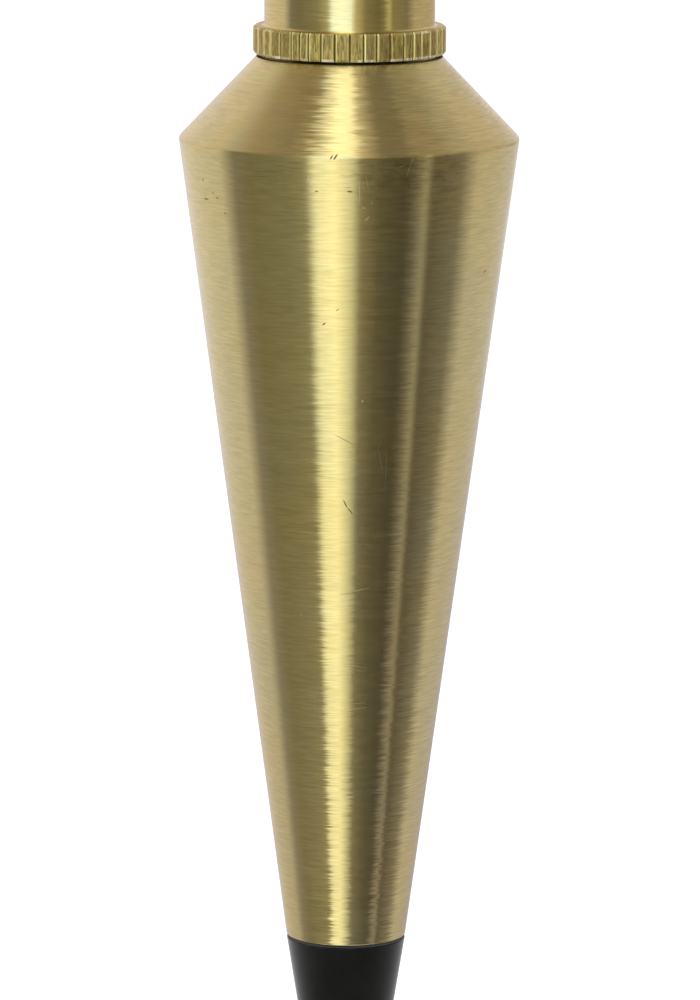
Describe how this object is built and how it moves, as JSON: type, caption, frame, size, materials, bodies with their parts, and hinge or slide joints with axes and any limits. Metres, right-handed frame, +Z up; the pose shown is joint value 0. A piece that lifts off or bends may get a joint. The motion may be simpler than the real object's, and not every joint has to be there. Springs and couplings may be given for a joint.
{
  "type": "plumb bob",
  "caption": "Tapered solid brass plumb bob with a knurled screw-off cap, a replaceable black steel tip and a knotted braided line.",
  "frame": {"origin": "the point of the steel tip", "axes": "+Z up the common axis of the bob, from the point through the cap to the line; +X and +Y complete a right-handed frame, with no preferred direction"},
  "size_m": [0.036, 0.036, 0.2],
  "materials": {
    "turned_brass": "fine turned satin, bare brass with a slight khaki tone",
    "cap_brass": "fine turned satin, knurled ring",
    "blackened_steel": "matte black oxide",
    "braided_line": "braided nylon, off-white"
  },
  "bodies": {
    "bob": {"brass_body": "turned_brass"},
    "line": {"plumb_line": "braided_line"},
    "cap": {"screw_cap": "cap_brass"},
    "tip": {"steel_tip": "blackened_steel"}
  },
  "joints": [
    {"name": "line_lift", "type": "slide", "parent": "bob", "child": "line", "axis": [0, 0, 1], "range_m": [0, 0.009]},
    {"name": "cap_turn", "type": "hinge", "parent": "line", "child": "cap", "pos_m": [0, 0, 0.1332], "axis": [0, 0, 1], "range_deg": [0, 2160]},
    {"name": "tip_out", "type": "slide", "parent": "bob", "child": "tip", "axis": [0, 0, -1], "range_m": [0, 0.0105]}
  ],
  "couplings": [
    {"joint": "cap_turn", "follows": "line_lift", "rad_per_m": 4188.8}
  ]
}
